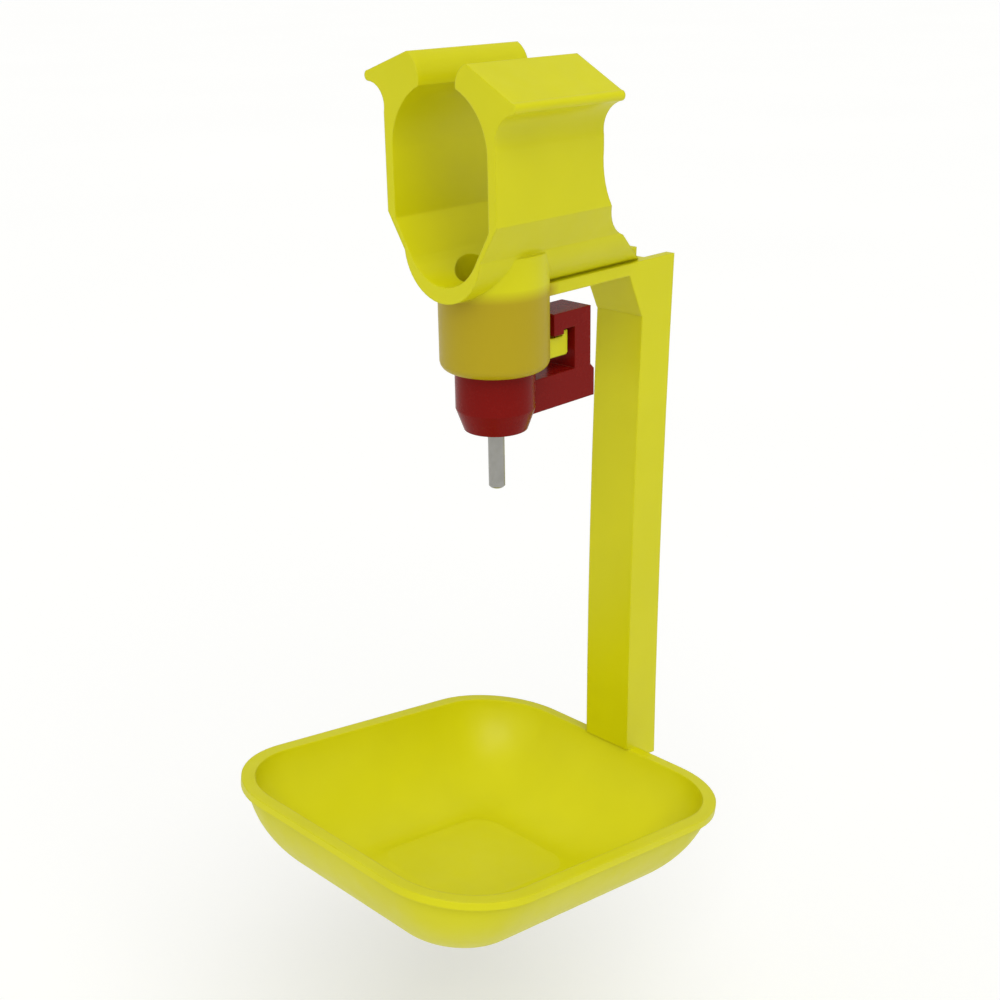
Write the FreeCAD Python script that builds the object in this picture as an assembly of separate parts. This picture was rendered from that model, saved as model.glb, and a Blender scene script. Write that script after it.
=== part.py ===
"""Poultry nipple drinker: a snap-on pipe hanger with a drip cup and a valve nipple.

One yellow moulding holds the pipe clip, the nipple socket, the hanging post and
the drip cup. A red nipple body snaps into the socket from below and carries two
steel seats, a ball, a strainer, a washer and the steel trigger pin.

Frame: millimetres, origin on the pipe's axis straight above the nipple's axis.
+X runs along the pipe towards the post, +Z is up.
"""
import FreeCAD
import Part
import math
import os

# ---------------------------------------------------------------- pipe and clip
PIPE_DIAMETER = 25.0
PIPE_CLEARANCE = 0.1         # on radius, arms relaxed
CLIP_LENGTH = 29.0           # along the pipe
CLIP_MIDDLE_X = 1.0
CLIP_WALL = 2.0
CLIP_SHOULDER_Z = -12.0      # the straight sides end here
SHOULDER_OFFSET = 1.1        # inner shoulder below the outer one
CLIP_FLOOR_Z = -24.7         # inside, at the middle of the trough
CLIP_FLOOR_WALL = 3.2
TROUGH_HALF_WIDTH = 8.5      # inside, where the slanted side meets the round floor
TROUGH_EDGE_Z = -20.0
TROUGH_WALL = 1.7            # sideways, at the trough's edge
TROUGH_EDGE_RISE = 1.1       # outer edge above the inner one
THROAT_HALF_WIDTH = 4.9      # between the two snap heads
HEAD_RIDGE_HALF_WIDTH = 7.75
HEAD_TIP_HALF_WIDTH = 19.7   # outer lip of a snap head
HEAD_TIP_RADIUS = 1.0
HEAD_HOLLOW = 1.2            # depth of the hollow under a snap head
LEFT_HEAD_RIDGE_Z = 17.6     # the left (+Y) arm stands up, the right one droops
LEFT_HEAD_TIP_Z = 12.8
LEFT_HEAD_ROOT_Z = 6.4
RIGHT_HEAD_RIDGE_Z = 16.0
RIGHT_HEAD_TIP_Z = 9.0
RIGHT_HEAD_ROOT_Z = 1.5
RELIEF_TOP_Z = -1.1          # the arms' rear edges are upright above this
RELIEF_KNEE = (17.4, -11.0)  # x, z on the sweep behind the arms
RELIEF_LOW = (26.7, -19.4)
RELIEF_END = (32.0, -23.6)

# ---------------------------------------------------------------- beam and post
BEAM_WIDTH = 12.6
BEAM_TOP_Z = -26.9
BEAM_THICKNESS = 2.5
POST_WALL = 2.2
POST_FOOT_X = 35.0           # web's face at the cup's rim
POST_MIDDLE_X = 36.1
POST_TOP_X = 38.5
POST_FOOT_DEPTH = 10.3
POST_TOP_DEPTH = 9.7
POST_SKIRT = 3.0             # flanges reach this far below the rim
GUSSET_REACH = 4.2
GUSSET_DROP = 9.3
GUSSET_TOE = 0.8             # thickness left at the gusset's foot

# ---------------------------------------------------------------- drip cup
CUP_CENTRE_X = -6.07
CUP_CENTRE_Z = -135.5        # middle of the rim
CUP_TILT = 9.6               # degrees, post side lower
CUP_LENGTH = 90.2            # along the cup, over the rim
CUP_WIDTH = 79.4             # across the cup, over the rim
CUP_CORNER_RADIUS = 19.9
RIM_LIP_WIDTH = 1.1          # how far the lip stands out of the wall
RIM_LIP_HEIGHT = 1.7
CUP_WALL = 1.8
CUP_DEPTH = 18.2
CUP_STEPS = [(0.0, 0.0, 0.0), (0.4, 2.6, 2.6), (0.8, 9.0, 6.0)]   # share of depth, inset, corner's shrink
FLOOR_LENGTH = 33.0
FLOOR_WIDTH = 28.2
FLOOR_CORNER_RADIUS = 6.0
CUP_FLOOR_WALL = 2.0

# ---------------------------------------------------------------- nipple socket
SOCKET_RADIUS = 10.95
SOCKET_END_Z = -43.0
SOCKET_EDGE_RADIUS = 1.9
SOCKET_BORE_RADIUS = 6.95
INLET_RECESS_RADIUS = 7.4
INLET_RECESS_Z = -31.3
INLET_HOLE_RADIUS = 4.0
SOCKET_WEB = 1.7             # between the inlet recess and the bore
LUG_END_X = 18.0
LUG_HALF_WIDTH = 3.0
LUG_TOP_Z = -39.4
LUG_BOTTOM_Z = -43.4
LUG_TIP_Z = -38.3
LUG_TIP_LENGTH = 1.4
LUG_EDGE = 0.4

# ---------------------------------------------------------------- nipple body
COLLAR_RADIUS = 8.05
COLLAR_BOTTOM_Z = -51.1
CONE_END_RADIUS = 6.45
CONE_END_Z = -55.5
CONE_EDGE_RADIUS = 0.9
PLUG_CLEARANCE = 0.1
PLUG_TOP_GAP = 0.6
SEAL_SECTION = 1.4
SEAL_GROOVE_HALF = 0.85
SEAL_DROP = 2.5              # ring's middle below the plug's top
INSERT_RADIUS = 4.6
MOUTH_RADIUS = 3.0
MOUTH_LIP = 1.3
ARM_HALF_WIDTH = 4.0
ARM_END_X = 25.1
ARM_BASE_TOP_Z = -46.6
ARM_BASE_BOTTOM_Z = -53.5
ARM_BASE_STEP = 1.1
HOOK_POST_THICKNESS = 4.8
HOOK_TOP_Z = -34.2
HOOK_THICKNESS = 3.5
HOOK_START_X = 13.0          # the hook's free end
HOOK_LIP_LENGTH = 2.9
HOOK_LIP_DROP = 1.0

# ---------------------------------------------------------------- valve
PIN_RADIUS = 1.68
PIN_TIP_Z = -68.2
PIN_TIP_EDGE = 0.35
PIN_HEAD_RADIUS = 3.4
PIN_PIVOT_Z = -50.1
PIN_HEAD_RISE = 0.7
PIN_STUB_RADIUS = 1.0
PIN_STUB_GAP = 0.05          # under the ball
PIN_BORE_RADIUS = 2.4
SEAT_CONE_ANGLE = 40.0       # from the axis
SEAT_GAP = 0.03
HEAD_CHAMBER_GAP = 0.1
WASHER_THICKNESS = 0.9
WASHER_CLEARANCE = 0.4
BALL_RADIUS = 2.75
BALL_SEAT_BOTTOM_Z = -47.9
BALL_THROAT_RADIUS = 1.8
BALL_THROAT_LENGTH = 0.9
BALL_GUIDE_GAP = 0.2
BALL_SEAT_TOP_Z = -44.0
STRAINER_SKIRT_WALL = 0.8
STRAINER_PLATE = 1.1
STRAINER_TOP_Z = -39.4
STRAINER_HOLES = 6
STRAINER_HOLE_RADIUS = 0.65
STRAINER_HOLE_CIRCLE = 2.3
VALVE_LIFT = 0.9             # travel of ball and pin
TRIGGER_TILT = 7.0           # degrees either way

# ---------------------------------------------------------------- worked out
BORE_RADIUS = PIPE_DIAMETER / 2 + PIPE_CLEARANCE
ARM_HALF_OUTER = BORE_RADIUS + CLIP_WALL
CLIP_FRONT_X = CLIP_MIDDLE_X - CLIP_LENGTH / 2
CLIP_REAR_X = CLIP_MIDDLE_X + CLIP_LENGTH / 2
LEFT_HEAD = (LEFT_HEAD_RIDGE_Z, LEFT_HEAD_TIP_Z, LEFT_HEAD_ROOT_Z)
RIGHT_HEAD = (RIGHT_HEAD_RIDGE_Z, RIGHT_HEAD_TIP_Z, RIGHT_HEAD_ROOT_Z)
BEAM_BOTTOM_Z = BEAM_TOP_Z - BEAM_THICKNESS
SOCKET_SHOULDER_Z = INLET_RECESS_Z - SOCKET_WEB
PLUG_RADIUS = SOCKET_BORE_RADIUS - PLUG_CLEARANCE
PLUG_TOP_Z = SOCKET_SHOULDER_Z - PLUG_TOP_GAP
SEAL_Z = PLUG_TOP_Z - SEAL_DROP
INSERT_FLOOR_Z = CONE_END_Z + MOUTH_LIP
PIN_SEAT_BOTTOM_Z = INSERT_FLOOR_Z + WASHER_THICKNESS
BALL_THROAT_Z = BALL_SEAT_BOTTOM_Z + BALL_THROAT_LENGTH
BALL_CENTRE_Z = (BALL_THROAT_Z + (BALL_RADIUS + SEAT_GAP) * math.sqrt(2.0)
                 - BALL_THROAT_RADIUS)


def vec(x, y, z):
    return FreeCAD.Vector(x, y, z)


def line(a, b):
    return Part.LineSegment(a, b).toShape()


def arc(a, middle, b):
    return Part.Arc(a, middle, b).toShape()


def chain(*edges):
    """A closed face from edges given in order."""
    return Part.Face(Part.Wire(list(edges)))


def polygon(points):
    return Part.Face(Part.makePolygon(points + points[:1]))


def ring(outer, inner, bottom, top):
    """An upright tube on the nipple's axis."""
    tube = Part.makeCylinder(outer, top - bottom, vec(0, 0, bottom))
    return tube.cut(Part.makeCylinder(inner, top - bottom + 2, vec(0, 0, bottom - 1)))


def turned(profile):
    """A solid of revolution about the nipple's axis from (radius, z) points."""
    face = polygon([vec(r, 0, z) for r, z in profile])
    return face.revolve(vec(0, 0, 0), vec(0, 0, 1), 360)


def mirror_y(shape):
    return shape.mirror(vec(0, 0, 0), vec(0, 1, 0))


# ---------------------------------------------------------------- the hanger
def both_sides(x, half_edges, top):
    """A face from two half outlines that run from the middle out and up, and a top line."""
    left = half_edges(lambda y, z: vec(x, y, z), LEFT_HEAD)
    right = half_edges(lambda y, z: vec(x, -y, z), RIGHT_HEAD)
    return chain(*left, *[line(a, b) for a, b in zip(top, top[1:])], *reversed(right))


def clip_outline(at, head):
    """Outside of the clip: round bottom, slanted and upright side, snap head."""
    ridge_z, tip_z, root_z = head
    side = ARM_HALF_OUTER
    tip_y = HEAD_TIP_HALF_WIDTH - HEAD_TIP_RADIUS
    edge_y = TROUGH_HALF_WIDTH + TROUGH_WALL
    edge_z = TROUGH_EDGE_Z + TROUGH_EDGE_RISE
    bottom_z = CLIP_FLOOR_Z - CLIP_FLOOR_WALL
    under = at((side + tip_y) / 2 - HEAD_HOLLOW / 2, (root_z + tip_z) / 2 + HEAD_HOLLOW)
    return [
        arc(at(0, bottom_z), at(*on_circle(edge_y, edge_z, bottom_z)), at(edge_y, edge_z)),
        line(at(edge_y, edge_z), at(side, CLIP_SHOULDER_Z)),
        line(at(side, CLIP_SHOULDER_Z), at(side, root_z)),
        arc(at(side, root_z), under, at(tip_y, tip_z - HEAD_TIP_RADIUS)),
        arc(at(tip_y, tip_z - HEAD_TIP_RADIUS), at(HEAD_TIP_HALF_WIDTH, tip_z),
            at(tip_y, tip_z + HEAD_TIP_RADIUS)),
        line(at(tip_y, tip_z + HEAD_TIP_RADIUS), at(HEAD_RIDGE_HALF_WIDTH, ridge_z))]


def clip_space_outline(at, head):
    """Inside of the clip: trough, bore over the pipe, throat and flared mouth."""
    ridge_z = head[0]
    side = BORE_RADIUS
    throat_angle = math.acos(THROAT_HALF_WIDTH / side)
    throat_z = side * math.sin(throat_angle)
    bore_y = side * math.cos(throat_angle / 2)
    bore_z = side * math.sin(throat_angle / 2)
    ridge_y = HEAD_RIDGE_HALF_WIDTH
    flare = at((3 * THROAT_HALF_WIDTH + ridge_y) / 4, (throat_z + 2 * ridge_z) / 3)
    edge_y = TROUGH_HALF_WIDTH
    edge_z = TROUGH_EDGE_Z
    shoulder_z = CLIP_SHOULDER_Z - SHOULDER_OFFSET
    return [
        arc(at(0, CLIP_FLOOR_Z), at(*on_circle(edge_y, edge_z, CLIP_FLOOR_Z)), at(edge_y, edge_z)),
        line(at(edge_y, edge_z), at(side, shoulder_z)),
        line(at(side, shoulder_z), at(side, 0)),
        arc(at(side, 0), at(bore_y, bore_z), at(THROAT_HALF_WIDTH, throat_z)),
        arc(at(THROAT_HALF_WIDTH, throat_z), flare, at(ridge_y, ridge_z))]


def on_circle(y, z, bottom_z):
    """Middle of the arc from (0, bottom_z), level there, to (y, z)."""
    rise = z - bottom_z
    radius = (y * y + rise * rise) / (2 * rise)
    half_angle = math.asin(y / radius) / 2
    return radius * math.sin(half_angle), bottom_z + radius * (1 - math.cos(half_angle))


def clip():
    """The clip's outside, run back to the post and swept down to the beam."""
    ridge = HEAD_RIDGE_HALF_WIDTH
    top = [vec(CLIP_FRONT_X, ridge, LEFT_HEAD_RIDGE_Z), vec(CLIP_FRONT_X, -ridge, RIGHT_HEAD_RIDGE_Z)]
    outline = both_sides(CLIP_FRONT_X, clip_outline, top)
    body = outline.extrude(vec(POST_TOP_X - CLIP_FRONT_X, 0, 0))
    return body.cut(clip_rear_relief())


def clip_space():
    """What the pipe and its tap need, run through past both ends of the clip."""
    start = CLIP_FRONT_X - 1
    ridge = HEAD_RIDGE_HALF_WIDTH
    above = LEFT_HEAD_RIDGE_Z + 1
    top = [vec(start, ridge, LEFT_HEAD_RIDGE_Z), vec(start, ridge, above),
           vec(start, -ridge, above), vec(start, -ridge, RIGHT_HEAD_RIDGE_Z)]
    outline = both_sides(start, clip_space_outline, top)
    return outline.extrude(vec(POST_TOP_X + 1 - start, 0, 0))


def clip_rear_relief():
    """What is cut from behind the arms: a sweep down to the beam's top."""
    width = 4 * HEAD_TIP_HALF_WIDTH
    top = LEFT_HEAD_RIDGE_Z + 5
    far = POST_TOP_X + 5

    def at(x, z):
        return vec(x, -width / 2, z)

    face = chain(
        line(at(CLIP_REAR_X, top), at(CLIP_REAR_X, RELIEF_TOP_Z)),
        arc(at(CLIP_REAR_X, RELIEF_TOP_Z), at(*RELIEF_KNEE), at(*RELIEF_LOW)),
        arc(at(*RELIEF_LOW), at(*RELIEF_END), at(POST_TOP_X, BEAM_TOP_Z)),
        line(at(POST_TOP_X, BEAM_TOP_Z), at(far, BEAM_TOP_Z)),
        line(at(far, BEAM_TOP_Z), at(far, top)),
        line(at(far, top), at(CLIP_REAR_X, top)))
    return face.extrude(vec(0, width, 0))


def beam():
    """The flat beam from the socket to the post, with the gusset in their corner."""
    start = INLET_RECESS_RADIUS + 1
    length = POST_TOP_X + POST_WALL - start
    side = -BEAM_WIDTH / 2
    plate = Part.makeBox(length, BEAM_WIDTH, BEAM_THICKNESS, vec(start, side, BEAM_BOTTOM_Z))
    inside = POST_TOP_X + POST_WALL / 2
    toe = POST_TOP_X - GUSSET_TOE
    gusset = polygon([
        vec(inside, side, BEAM_BOTTOM_Z), vec(toe - GUSSET_REACH, side, BEAM_BOTTOM_Z),
        vec(toe, side, BEAM_BOTTOM_Z - GUSSET_DROP), vec(inside, side, BEAM_BOTTOM_Z - GUSSET_DROP)])
    return plate.fuse(gusset.extrude(vec(0, BEAM_WIDTH, 0)))


def rim_z(x):
    """Height of the cup's rim plane at x."""
    return CUP_CENTRE_Z - (x - CUP_CENTRE_X) * math.tan(math.radians(CUP_TILT))


def post_side(front_offset, rear_offset, y):
    """The post seen from the side, its faces bowed slightly outwards."""
    top = BEAM_TOP_Z
    foot_front = POST_FOOT_X + front_offset
    foot_rear = POST_FOOT_X + POST_FOOT_DEPTH + rear_offset
    middle = (top + CUP_CENTRE_Z) / 2
    middle_depth = (POST_FOOT_DEPTH + POST_TOP_DEPTH) / 2
    front = [vec(foot_front, y, rim_z(foot_front) - POST_SKIRT), vec(POST_MIDDLE_X + front_offset, y, middle),
             vec(POST_TOP_X + front_offset, y, top)]
    rear = [vec(foot_rear, y, rim_z(foot_rear) - POST_SKIRT),
            vec(POST_MIDDLE_X + middle_depth + rear_offset, y, middle),
            vec(POST_TOP_X + POST_TOP_DEPTH + rear_offset, y, top)]
    return chain(arc(*front), line(front[2], rear[2]), arc(*reversed(rear)), line(rear[0], front[0]))


def post():
    half = BEAM_WIDTH / 2
    outer = post_side(0, 0, -half).extrude(vec(0, BEAM_WIDTH, 0))
    channel = post_side(POST_WALL, POST_FOOT_DEPTH, POST_WALL - half)
    channel = channel.extrude(vec(0, BEAM_WIDTH - 2 * POST_WALL, 0))
    return outer.cut(channel)


def rounded_rectangle(length, width, radius, z):
    """A closed wire about the cup's middle."""
    a = length / 2
    b = width / 2
    k = radius * (1 - math.sqrt(0.5))
    edges = []
    for turn in range(4):
        p, q = (a, b) if turn % 2 == 0 else (b, a)
        points = [vec(p, radius - q, z), vec(p, q - radius, z), vec(p - k, q - k, z), vec(p - radius, q, z)]
        spin = FreeCAD.Rotation(vec(0, 0, 1), 90 * turn)
        points = [spin.multVec(v) for v in points]
        edges.append(line(points[0], points[1]))
        edges.append(arc(points[1], points[2], points[3]))
    return Part.Wire(edges)


def bowl(sections):
    """A smooth solid through stacked rounded rectangles: (length, width, radius, z)."""
    return Part.makeLoft([rounded_rectangle(*s) for s in sections], True, False)


def cup_sections(grow, floor_drop):
    """The cup's inside, or with grow its outside, from rim to floor."""
    edge = RIM_LIP_WIDTH + CUP_WALL - grow
    sections = []
    for share, inset, shrink in CUP_STEPS:
        side = edge + inset
        sections.append((CUP_LENGTH - 2 * side, CUP_WIDTH - 2 * side, CUP_CORNER_RADIUS - edge - shrink,
                         -share * (CUP_DEPTH + floor_drop)))
    sections.append((FLOOR_LENGTH + grow, FLOOR_WIDTH + grow, FLOOR_CORNER_RADIUS + grow / 2,
                     -CUP_DEPTH - floor_drop))
    return sections


def tilted(shape):
    """Carries a shape from the cup's own frame to its place under the nipple."""
    shape.rotate(vec(0, 0, 0), vec(0, 1, 0), CUP_TILT)
    shape.translate(vec(CUP_CENTRE_X, 0, CUP_CENTRE_Z))
    return shape


def cup_outside():
    shell = bowl(cup_sections(CUP_WALL, CUP_FLOOR_WALL))
    rim = Part.Face(rounded_rectangle(CUP_LENGTH, CUP_WIDTH, CUP_CORNER_RADIUS, -RIM_LIP_HEIGHT))
    return tilted(shell.fuse(rim.extrude(vec(0, 0, RIM_LIP_HEIGHT))))


def cup_inside():
    return tilted(bowl(cup_sections(0, 0)))


def socket():
    top = TROUGH_EDGE_Z + 0.5
    body = Part.makeCylinder(SOCKET_RADIUS, top - SOCKET_END_Z, vec(0, 0, SOCKET_END_Z))
    lower = [e for e in body.Edges if abs(e.BoundBox.ZMax - SOCKET_END_Z) < 1e-6]
    return body.makeFillet(SOCKET_EDGE_RADIUS, lower)


def lug():
    """The locking lug with its up-turned tip."""
    start = SOCKET_BORE_RADIUS + 1
    end = LUG_END_X
    y = -LUG_HALF_WIDTH
    side = polygon([
        vec(start, y, LUG_BOTTOM_Z), vec(end - LUG_EDGE, y, LUG_BOTTOM_Z), vec(end, y, LUG_BOTTOM_Z + LUG_EDGE),
        vec(end, y, LUG_TIP_Z), vec(end - LUG_TIP_LENGTH, y, LUG_TIP_Z),
        vec(end - LUG_TIP_LENGTH, y, LUG_TOP_Z), vec(start, y, LUG_TOP_Z)])
    return side.extrude(vec(0, 2 * LUG_HALF_WIDTH, 0))


def hanger():
    body = clip().fuse([beam(), post(), socket(), lug(), cup_outside()])
    cuts = [
        clip_space(),
        cup_inside(),
        Part.makeCylinder(INLET_RECESS_RADIUS, 20, vec(0, 0, INLET_RECESS_Z)),
        Part.makeCylinder(INLET_HOLE_RADIUS, 5, vec(0, 0, SOCKET_SHOULDER_Z - 1)),
        Part.makeCylinder(SOCKET_BORE_RADIUS, SOCKET_SHOULDER_Z - SOCKET_END_Z + 1,
                          vec(0, 0, SOCKET_END_Z - 1))]
    body = body.cut(cuts)
    return body.removeSplitter()


# ---------------------------------------------------------------- the nipple body
def body_turning():
    groove = PLUG_RADIUS + PLUG_CLEARANCE - SEAL_SECTION
    return turned([
        (MOUTH_RADIUS, CONE_END_Z), (CONE_END_RADIUS, CONE_END_Z), (COLLAR_RADIUS, COLLAR_BOTTOM_Z),
        (COLLAR_RADIUS, SOCKET_END_Z), (PLUG_RADIUS, SOCKET_END_Z),
        (PLUG_RADIUS, SEAL_Z - SEAL_GROOVE_HALF), (groove, SEAL_Z - SEAL_GROOVE_HALF),
        (groove, SEAL_Z + SEAL_GROOVE_HALF), (PLUG_RADIUS, SEAL_Z + SEAL_GROOVE_HALF),
        (PLUG_RADIUS, PLUG_TOP_Z), (INSERT_RADIUS, PLUG_TOP_Z),
        (INSERT_RADIUS, INSERT_FLOOR_Z), (MOUTH_RADIUS, INSERT_FLOOR_Z)])


def locking_arm():
    """The side arm that rises and hooks over the socket's lug."""
    y = -ARM_HALF_WIDTH
    post_end = ARM_END_X - ARM_BASE_STEP
    post_start = post_end - HOOK_POST_THICKNESS
    under = HOOK_TOP_Z - HOOK_THICKNESS
    lip_start = HOOK_START_X
    lip_end = lip_start + HOOK_LIP_LENGTH
    side = polygon([
        vec(COLLAR_RADIUS - 2, y, ARM_BASE_BOTTOM_Z), vec(ARM_END_X, y, ARM_BASE_BOTTOM_Z),
        vec(ARM_END_X, y, ARM_BASE_TOP_Z - ARM_BASE_STEP), vec(post_end, y, ARM_BASE_TOP_Z),
        vec(post_end, y, HOOK_TOP_Z), vec(lip_start, y, HOOK_TOP_Z),
        vec(lip_start, y, under - HOOK_LIP_DROP), vec(lip_end, y, under - HOOK_LIP_DROP),
        vec(lip_end, y, under), vec(post_start, y, under),
        vec(post_start, y, ARM_BASE_TOP_Z), vec(COLLAR_RADIUS - 2, y, ARM_BASE_TOP_Z)])
    return side.extrude(vec(0, 2 * ARM_HALF_WIDTH, 0))


def nipple_body():
    body = body_turning().fuse(locking_arm())
    return body.removeSplitter()


# ---------------------------------------------------------------- the valve
def seat_washer():
    return ring(INSERT_RADIUS, PIN_BORE_RADIUS + WASHER_CLEARANCE, INSERT_FLOOR_Z, PIN_SEAT_BOTTOM_Z)


def pin_seat():
    """Lower steel seat: a cone under the pin's round head."""
    slope = math.tan(math.radians(SEAT_CONE_ANGLE))
    apex_z = PIN_PIVOT_Z - (PIN_HEAD_RADIUS + SEAT_GAP) / math.sin(math.radians(SEAT_CONE_ANGLE))
    chamber = PIN_HEAD_RADIUS + HEAD_CHAMBER_GAP
    return turned([
        (PIN_BORE_RADIUS, PIN_SEAT_BOTTOM_Z), (INSERT_RADIUS, PIN_SEAT_BOTTOM_Z),
        (INSERT_RADIUS, BALL_SEAT_BOTTOM_Z), (chamber, BALL_SEAT_BOTTOM_Z),
        (chamber, apex_z + chamber / slope), (PIN_BORE_RADIUS, apex_z + PIN_BORE_RADIUS / slope)])


def ball_seat():
    """Upper steel seat: a throat and cone that the ball closes."""
    guide = BALL_RADIUS + BALL_GUIDE_GAP
    return turned([
        (BALL_THROAT_RADIUS, BALL_SEAT_BOTTOM_Z), (INSERT_RADIUS, BALL_SEAT_BOTTOM_Z),
        (INSERT_RADIUS, BALL_SEAT_TOP_Z), (guide, BALL_SEAT_TOP_Z),
        (guide, BALL_THROAT_Z + guide - BALL_THROAT_RADIUS), (BALL_THROAT_RADIUS, BALL_THROAT_Z)])


def valve_ball():
    return Part.makeSphere(BALL_RADIUS, vec(0, 0, BALL_CENTRE_Z))


def trigger_pin():
    head = Part.makeSphere(PIN_HEAD_RADIUS, vec(0, 0, PIN_PIVOT_Z))
    head = head.cut(Part.makeBox(10, 10, 10, vec(-5, -5, PIN_PIVOT_Z + PIN_HEAD_RISE)))
    stub_top = BALL_CENTRE_Z - BALL_RADIUS - PIN_STUB_GAP
    stub = Part.makeCylinder(PIN_STUB_RADIUS, stub_top - PIN_PIVOT_Z, vec(0, 0, PIN_PIVOT_Z))
    shank = Part.makeCylinder(PIN_RADIUS, PIN_PIVOT_Z - PIN_TIP_Z, vec(0, 0, PIN_TIP_Z))
    tip = [e for e in shank.Edges if abs(e.BoundBox.ZMax - PIN_TIP_Z) < 1e-6]
    shank = shank.makeChamfer(PIN_TIP_EDGE, tip)
    return shank.fuse([head, stub]).removeSplitter()


def strainer():
    skirt = turned([
        (INSERT_RADIUS - STRAINER_SKIRT_WALL, BALL_SEAT_TOP_Z), (INSERT_RADIUS, BALL_SEAT_TOP_Z),
        (INSERT_RADIUS, STRAINER_TOP_Z), (0, STRAINER_TOP_Z), (0, STRAINER_TOP_Z - STRAINER_PLATE),
        (INSERT_RADIUS - STRAINER_SKIRT_WALL, STRAINER_TOP_Z - STRAINER_PLATE)])
    holes = []
    for index in range(STRAINER_HOLES):
        angle = 2 * math.pi * index / STRAINER_HOLES
        place = vec(STRAINER_HOLE_CIRCLE * math.cos(angle), STRAINER_HOLE_CIRCLE * math.sin(angle),
                    STRAINER_TOP_Z - 5)
        holes.append(Part.makeCylinder(STRAINER_HOLE_RADIUS, 10, place))
    return skirt.cut(holes)


def body_seal():
    """The O-ring between the plug and the socket's bore."""
    section = SEAL_SECTION / 2
    return Part.makeTorus(SOCKET_BORE_RADIUS - section, section, vec(0, 0, SEAL_Z))


PARTS = {
    "hanger": hanger,
    "nipple_body": nipple_body,
    "seat_washer": seat_washer,
    "pin_seat": pin_seat,
    "ball_seat": ball_seat,
    "valve_ball": valve_ball,
    "trigger_pin": trigger_pin,
    "strainer": strainer,
    "body_seal": body_seal,
}

os.makedirs("parts", exist_ok=True)
for name, make in PARTS.items():
    shape = make()
    shape.exportStep("parts/" + name + ".step")
    box = shape.BoundBox
    print(f"{name:14s} solids {len(shape.Solids)} valid {shape.isValid()} volume {shape.Volume:9.1f}"
          f"  X {box.XMin:7.2f} {box.XMax:7.2f}  Y {box.YMin:7.2f} {box.YMax:7.2f}"
          f"  Z {box.ZMin:8.2f} {box.ZMax:8.2f}")
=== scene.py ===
"""Poultry nipple drinker: a drip cup that clips under a water pipe, with a nipple valve above it."""

import math
import bpy
from mathutils import Matrix, Vector


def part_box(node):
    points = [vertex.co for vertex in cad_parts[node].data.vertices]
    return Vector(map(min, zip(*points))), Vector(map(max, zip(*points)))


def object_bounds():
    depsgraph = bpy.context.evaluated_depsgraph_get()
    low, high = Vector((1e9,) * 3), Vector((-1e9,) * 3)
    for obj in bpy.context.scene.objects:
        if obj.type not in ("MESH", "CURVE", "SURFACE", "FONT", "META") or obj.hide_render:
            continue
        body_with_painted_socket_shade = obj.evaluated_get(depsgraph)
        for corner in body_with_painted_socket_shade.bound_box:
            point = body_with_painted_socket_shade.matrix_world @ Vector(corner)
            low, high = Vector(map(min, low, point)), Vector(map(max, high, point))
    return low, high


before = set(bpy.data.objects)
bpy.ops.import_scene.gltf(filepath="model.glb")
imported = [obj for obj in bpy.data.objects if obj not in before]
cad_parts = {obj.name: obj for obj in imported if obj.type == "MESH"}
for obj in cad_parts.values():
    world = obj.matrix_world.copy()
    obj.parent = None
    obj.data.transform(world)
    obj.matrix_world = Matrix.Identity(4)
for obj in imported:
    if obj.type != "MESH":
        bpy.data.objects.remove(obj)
cad_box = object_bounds()
bpy.ops.object.select_all(action="DESELECT")

MM = 0.001

# Camera, in the part's own frame: metres and degrees.
CAMERA_PLACE = Vector((-0.19835, -0.20002, 0.03669))
CAMERA_AZIMUTH = -44.87
CAMERA_ELEVATION = 20.96
CAMERA_ROLL = -1.01
CAMERA_LENS_MM = 52.99
CAMERA_SENSOR_MM = 36.0

# The nipple's socket under the clip, and how far the painted shade and painted red light on its wall
# spread.
SOCKET_RADIUS = 11.1 * MM
SOCKET_TOP_Z = -25.5 * MM
SOCKET_PAINTED_SHADE_SPREAD = 2.5 * MM

# Floor and light. A surface that faces up renders at about the colour that it is written with. The floor
# looks lighter than that to the camera alone, and keeps the object's shadow.
FLOOR_DROP = 70 * MM
FLOOR_HALF_WIDTH = 15.0
FLOOR_COLOUR = "FAFAF8"
FLOOR_SHOWN_LIGHTER_BY = 0.16
FLOOR_CLOUD_MM = 400
SKY_STRENGTH = 0.5
KEY_STRENGTH = 1.4
KEY_DIRECTION = (0.35, 0.6, -1.0)
KEY_SOFTNESS_DEG = 50
FILL_STRENGTH = 0.3
FILL_DIRECTION = (0.9, -0.1, -0.25)
FILL_SOFTNESS_DEG = 80

# A Mix node's own colour sockets, which share their names with its sockets for numbers.
MIX_FIRST = 6
MIX_SECOND = 7
MIX_RESULT = 2


def linear(hex_colour):
    """An sRGB hex colour as the linear colour that a shader takes."""
    channels = [int(hex_colour[i:i + 2], 16) / 255 for i in (0, 2, 4)]
    return [c / 12.92 if c <= 0.04045 else ((c + 0.055) / 1.055) ** 2.4 for c in channels] + [1.0]


def add_node(tree, kind, inputs=None, **settings):
    """Adds a shader node. An input is a plain value, or the output socket that feeds it."""
    node = tree.nodes.new(kind)
    for name, value in settings.items():
        setattr(node, name, value)
    for name, value in (inputs or {}).items():
        if isinstance(value, bpy.types.NodeSocket):
            tree.links.new(value, node.inputs[name])
        else:
            node.inputs[name].default_value = value
    return node


def new_material(name):
    """An empty material with a principled shader, and the piece's own coordinates in metres."""
    material = bpy.data.materials.new(name)
    material.use_nodes = True
    tree = material.node_tree
    tree.nodes.clear()
    shader = add_node(tree, "ShaderNodeBsdfPrincipled")
    add_node(tree, "ShaderNodeOutputMaterial", {"Surface": shader.outputs["BSDF"]})
    place = add_node(tree, "ShaderNodeTexCoord").outputs["Object"]
    return material, tree, shader, place


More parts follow.
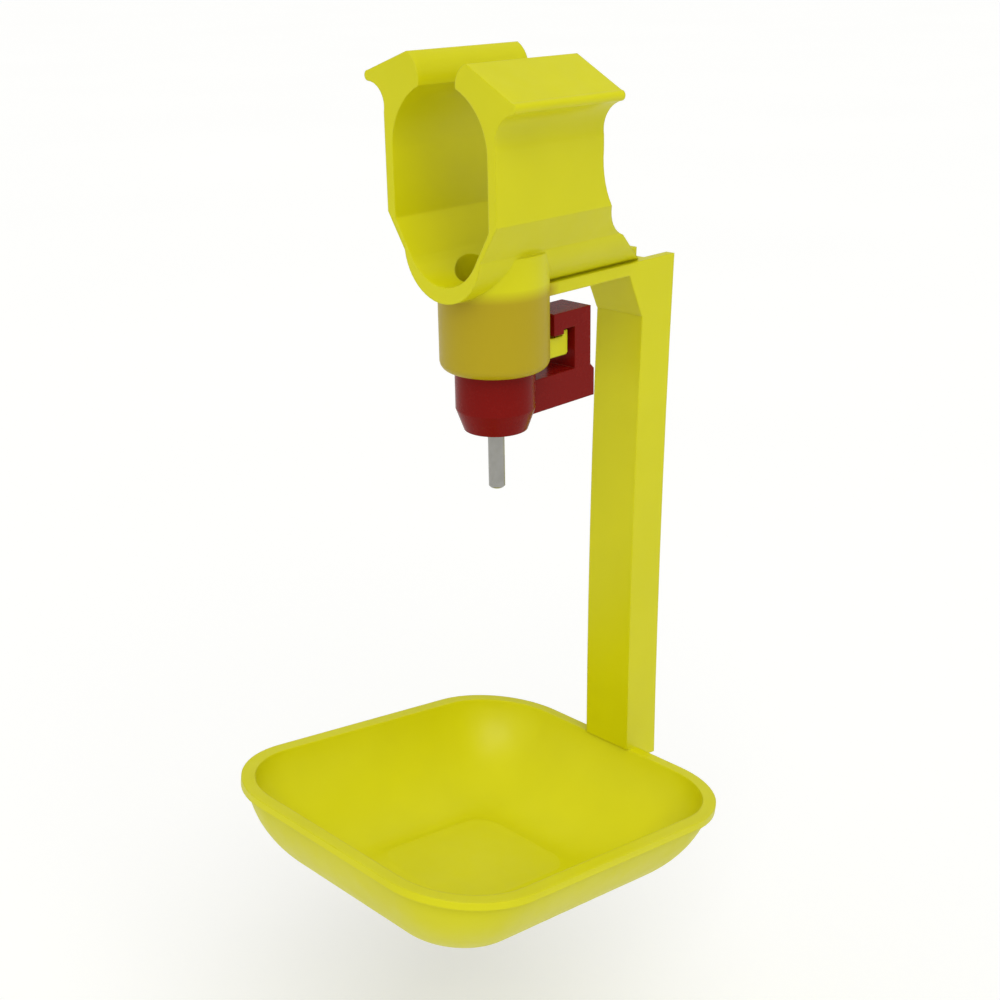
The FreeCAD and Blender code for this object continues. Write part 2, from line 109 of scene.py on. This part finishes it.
def noise(tree, place, size_mm, detail=2.0, roughness=0.5):
    """Soft noise whose lumps are size_mm across."""
    inputs = {"Vector": place, "Scale": 1 / (size_mm * MM), "Detail": detail, "Roughness": roughness}
    return add_node(tree, "ShaderNodeTexNoise", inputs).outputs["Fac"]


def between(tree, amount, low, high, start=0.0, end=1.0):
    """A number that goes from low to high while amount goes from start to end."""
    inputs = {"Value": amount, "From Min": start, "From Max": end, "To Min": low, "To Max": high}
    return add_node(tree, "ShaderNodeMapRange", inputs).outputs["Result"]


def blend_colours(tree, amount, first, second):
    """A colour from first to second by amount. Each is a hex colour or a socket."""
    mix = add_node(tree, "ShaderNodeMix", {"Factor": amount}, data_type="RGBA")
    for socket, colour in ((mix.inputs[MIX_FIRST], first), (mix.inputs[MIX_SECOND], second)):
        if isinstance(colour, str):
            socket.default_value = linear(colour)
        else:
            tree.links.new(colour, socket)
    return mix.outputs[MIX_RESULT]


def bump(tree, shader, height, depth_mm, normal=None):
    """Raises the surface by height, depth_mm from its lowest to its highest."""
    inputs = {"Height": height, "Distance": depth_mm * MM, "Strength": 1.0}
    if normal is not None:
        inputs["Normal"] = normal
    node = add_node(tree, "ShaderNodeBump", inputs)
    tree.links.new(node.outputs["Normal"], shader.inputs["Normal"])


def edge_wear_and_highlight(tree, radius_mm, sharp=0.72, flat=0.985):
    """1 on edges, where handling has rubbed them and where a painted highlight brightens them, and 0 on
    open faces, with the softened normal there.
    sharp and flat are cosines between the softened and the true normal, where wear is full and none."""
    soft = add_node(tree, "ShaderNodeBevel", {"Radius": radius_mm * MM}, samples=6).outputs["Normal"]
    true_normal = add_node(tree, "ShaderNodeNewGeometry").outputs["Normal"]
    inputs = {0: soft, 1: true_normal}
    facing = add_node(tree, "ShaderNodeVectorMath", inputs, operation="DOT_PRODUCT").outputs["Value"]
    return between(tree, facing, 1.0, 0.0, start=sharp, end=flat), soft


def painted_socket_shade_mask(tree, place):
    """1 on the socket's wall, where painted shade and painted red light stand for the wall's shadow and
    the red nipple showing through it, and 0 elsewhere.
    """
    nipple_end_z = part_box("nipple_body")[0].z
    flattened = {0: place, 1: (1, 1, 0)}
    across = add_node(tree, "ShaderNodeVectorMath", flattened, operation="MULTIPLY").outputs["Vector"]
    reach = add_node(tree, "ShaderNodeVectorMath", {0: across}, operation="LENGTH").outputs["Value"]
    height = add_node(tree, "ShaderNodeSeparateXYZ", {"Vector": place}).outputs["Z"]
    near = between(tree, reach, 1.0, 0.0, start=SOCKET_RADIUS, end=SOCKET_RADIUS + SOCKET_PAINTED_SHADE_SPREAD)
    below = between(tree, height, 1.0, 0.0, start=SOCKET_TOP_Z - SOCKET_PAINTED_SHADE_SPREAD, end=SOCKET_TOP_Z)
    above = between(tree, height, 0.0, 1.0, start=nipple_end_z - SOCKET_PAINTED_SHADE_SPREAD, end=nipple_end_z)
    span = add_node(tree, "ShaderNodeMath", {0: below, 1: above}, operation="MULTIPLY").outputs["Value"]
    return add_node(tree, "ShaderNodeMath", {0: near, 1: span}, operation="MULTIPLY").outputs["Value"]


def moulded_polypropylene():
    """Injection-moulded polypropylene, coloured yellow all through: a waxy satin face that lets a little
    light into it, with faint flow clouding, a fine skin texture, edges painted paler as rubbed wear and
    as a painted highlight, and painted shade and painted red light on the socket's wall."""
    material, tree, shader, place = new_material("moulded_polypropylene_yellow")
    wear_and_highlight, soft_normal = edge_wear_and_highlight(tree, radius_mm=0.45)
    clouding = between(tree, noise(tree, place, size_mm=16), 0.0, 1.0, start=0.35, end=0.65)
    body = blend_colours(tree, clouding, "DAD602", "DDD904")
    # Painted shade and painted red light: the socket's wall is coloured a darker orange-yellow for its
    # shadow and for the red nipple showing through.
    body_with_painted_socket_shade = blend_colours(tree, painted_socket_shade_mask(tree, place), body, "B8A206")
    # Edges painted paler: partly rubbed wear, partly a painted highlight.
    colour = blend_colours(tree, between(tree, wear_and_highlight, 0.0, 0.35), body_with_painted_socket_shade, "F0EC38")
    tree.links.new(colour, shader.inputs["Base Color"])
    handling = noise(tree, place, size_mm=5, detail=5.0, roughness=0.65)
    tree.links.new(between(tree, handling, 0.34, 0.46, start=0.3, end=0.7), shader.inputs["Roughness"])
    shader.inputs["IOR"].default_value = 1.49
    shader.inputs["Specular IOR Level"].default_value = 0.28
    shader.inputs["Subsurface Weight"].default_value = 0.15
    shader.inputs["Subsurface Radius"].default_value = (1.0, 0.9, 0.12)
    shader.inputs["Subsurface Scale"].default_value = 1.6 * MM
    # The skin's grain is 0.1 mm on a real moulding, drawn as 0.5 mm so that it shows.
    bump(tree, shader, noise(tree, place, size_mm=0.5, detail=3.0), depth_mm=0.012, normal=soft_normal)
    return material


def moulded_acetal():
    """Injection-moulded acetal, dark red: harder than the clip, with lighter scuffs, and edges painted
    lighter as wear and as a painted highlight.
    """
    material, tree, shader, place = new_material("moulded_acetal_red")
    wear_and_highlight, soft_normal = edge_wear_and_highlight(tree, radius_mm=0.3)
    scratches = noise(tree, place, size_mm=2.5, detail=6.0, roughness=0.7)
    scuffs = between(tree, scratches, 0.0, 1.0, start=0.55, end=0.75)
    body = blend_colours(tree, scuffs, "800F09", "86130C")
    # Edges painted lighter: partly scuffed wear, partly a painted highlight.
    colour = blend_colours(tree, between(tree, wear_and_highlight, 0.0, 0.4), body, "A03128")
    tree.links.new(colour, shader.inputs["Base Color"])
    tree.links.new(between(tree, scuffs, 0.27, 0.42), shader.inputs["Roughness"])
    shader.inputs["IOR"].default_value = 1.48
    shader.inputs["Specular IOR Level"].default_value = 0.1
    bump(tree, shader, noise(tree, place, size_mm=0.4), depth_mm=0.006, normal=soft_normal)
    return material


def turned_stainless_steel():
    """Stainless steel turned on a lathe: bright grey metal with fine rings round the pin's axis."""
    material, tree, shader, place = new_material("turned_stainless_steel")
    # The tool's feed is 0.05 mm a turn, drawn as 0.3 mm so that the rings show.
    stretch = {"Vector": place, "Scale": (0.02, 0.02, 1.0)}
    stretched = add_node(tree, "ShaderNodeMapping", stretch).outputs["Vector"]
    rings = noise(tree, stretched, size_mm=0.3, detail=2.0)
    tarnish = between(tree, noise(tree, place, size_mm=3, detail=4.0), 0.0, 1.0, start=0.4, end=0.7)
    tree.links.new(blend_colours(tree, tarnish, "A9A8A3", "9E9D97"), shader.inputs["Base Color"])
    tree.links.new(between(tree, rings, 0.26, 0.34, start=0.3, end=0.7), shader.inputs["Roughness"])
    shader.inputs["Metallic"].default_value = 1.0
    bump(tree, shader, rings, depth_mm=0.003)
    return material


def polished_stainless_steel():
    """Stainless steel ball and seats, lapped to seal: a near mirror with the faintest haze."""
    material, tree, shader, place = new_material("polished_stainless_steel")
    haze = between(tree, noise(tree, place, size_mm=1.5, detail=4.0), 0.08, 0.18, start=0.3, end=0.7)
    tree.links.new(haze, shader.inputs["Roughness"])
    shader.inputs["Base Color"].default_value = linear("D6D5D1")
    shader.inputs["Metallic"].default_value = 1.0
    return material


def moulded_white_polyethylene():
    """Injection-moulded polyethylene, undyed: milky white, matt, with a little light passing through."""
    material, tree, shader, place = new_material("moulded_polyethylene_white")
    clouding = between(tree, noise(tree, place, size_mm=4), 0.0, 1.0, start=0.35, end=0.65)
    tree.links.new(blend_colours(tree, clouding, "E6E5DF", "EFEEE9"), shader.inputs["Base Color"])
    shader.inputs["Roughness"].default_value = 0.5
    shader.inputs["IOR"].default_value = 1.51
    shader.inputs["Subsurface Weight"].default_value = 0.2
    shader.inputs["Subsurface Radius"].default_value = (1.0, 1.0, 0.9)
    shader.inputs["Subsurface Scale"].default_value = 1.0 * MM
    bump(tree, shader, noise(tree, place, size_mm=0.5), depth_mm=0.01)
    return material


def moulded_nitrile_rubber():
    """Compression-moulded nitrile rubber: soft black with a dry bloom and no gloss."""
    material, tree, shader, place = new_material("moulded_nitrile_rubber")
    bloom = between(tree, noise(tree, place, size_mm=1.2, detail=4.0), 0.0, 1.0, start=0.4, end=0.75)
    tree.links.new(blend_colours(tree, bloom, "1B1A1A", "2B2A29"), shader.inputs["Base Color"])
    tree.links.new(between(tree, bloom, 0.6, 0.78), shader.inputs["Roughness"])
    shader.inputs["IOR"].default_value = 1.52
    bump(tree, shader, noise(tree, place, size_mm=0.25), depth_mm=0.015)
    return material


def finish_nodes(nodes):
    """Puts each CAD node's real finish in its material slots."""
    steel = polished_stainless_steel()
    rubber = moulded_nitrile_rubber()
    finishes = {
        "hanger": moulded_polypropylene(),
        "nipple_body": moulded_acetal(),
        "trigger_pin": turned_stainless_steel(),
        "valve_ball": steel,
        "pin_seat": steel,
        "ball_seat": steel,
        "seat_washer": rubber,
        "body_seal": rubber,
        "strainer": moulded_white_polyethylene(),
    }
    for name, material in finishes.items():
        for slot in nodes[name].material_slots:
            slot.material = material


def floor(lowest_z):
    """A wide pale floor below the hanging drinker, which takes only its soft shadow."""
    bpy.ops.mesh.primitive_plane_add(size=2 * FLOOR_HALF_WIDTH, location=(0, 0, lowest_z - FLOOR_DROP))
    plane = bpy.context.active_object
    plane.name = "floor"
    material, tree, shader, place = new_material("matt_studio_floor")
    shade = between(tree, noise(tree, place, size_mm=FLOOR_CLOUD_MM), 0.0, 1.0)
    tree.links.new(blend_colours(tree, shade, FLOOR_COLOUR, "F7F7F5"), shader.inputs["Base Color"])
    shader.inputs["Roughness"].default_value = 0.95
    shader.inputs["Specular IOR Level"].default_value = 0.1
    seen = add_node(tree, "ShaderNodeLightPath").outputs["Is Camera Ray"]
    shader.inputs["Emission Color"].default_value = linear("FFFFFF")
    tree.links.new(between(tree, seen, 0.0, FLOOR_SHOWN_LIGHTER_BY), shader.inputs["Emission Strength"])
    plane.data.materials.append(material)


def sun(name, strength, direction, softness_deg):
    """A broad lamp that shines along direction."""
    data = bpy.data.lights.new(name, "SUN")
    data.energy = strength
    data.angle = math.radians(softness_deg)
    lamp = bpy.data.objects.new(name, data)
    lamp.rotation_euler = Vector(direction).to_track_quat("-Z", "Y").to_euler()
    bpy.context.collection.objects.link(lamp)


def sky():
    """An even white dome, which the camera sees as plain white."""
    world = bpy.data.worlds.new("studio_dome")
    world.use_nodes = True
    tree = world.node_tree
    tree.nodes.clear()
    rays = add_node(tree, "ShaderNodeLightPath")
    inputs = {0: rays.outputs["Is Camera Ray"], 1: rays.outputs["Is Transmission Ray"]}
    seen = add_node(tree, "ShaderNodeMath", inputs, operation="MAXIMUM").outputs["Value"]
    strength = between(tree, seen, SKY_STRENGTH, 1.0)
    background = add_node(tree, "ShaderNodeBackground", {"Color": linear("FFFFFF"), "Strength": strength})
    add_node(tree, "ShaderNodeOutputWorld", {"Surface": background.outputs["Background"]})
    bpy.context.scene.world = world


def camera():
    """The camera looks down at the clip and into the cup, with a slight roll."""
    az, el, roll = (math.radians(a) for a in (CAMERA_AZIMUTH, CAMERA_ELEVATION, CAMERA_ROLL))
    forward = Vector((-math.sin(az) * math.cos(el), math.cos(az) * math.cos(el), -math.sin(el)))
    level_right = Vector((math.cos(az), math.sin(az), 0))
    level_up = level_right.cross(forward)
    right = level_right * math.cos(roll) + level_up * math.sin(roll)
    up = right.cross(forward)
    data = bpy.data.cameras.new("camera")
    data.lens = CAMERA_LENS_MM
    data.sensor_width = CAMERA_SENSOR_MM
    data.clip_start = 5 * MM
    data.clip_end = 4 * FLOOR_HALF_WIDTH
    view = bpy.data.objects.new("camera", data)
    view.matrix_world = Matrix.LocRotScale(CAMERA_PLACE, Matrix((right, up, -forward)).transposed(), None)
    bpy.context.collection.objects.link(view)
    bpy.context.scene.camera = view


camera()
sky()
sun("key", KEY_STRENGTH, KEY_DIRECTION, KEY_SOFTNESS_DEG)
sun("fill", FILL_STRENGTH, FILL_DIRECTION, FILL_SOFTNESS_DEG)
floor(cad_box[0][2])
finish_nodes(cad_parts)
bpy.context.scene.view_settings.view_transform = "Standard"
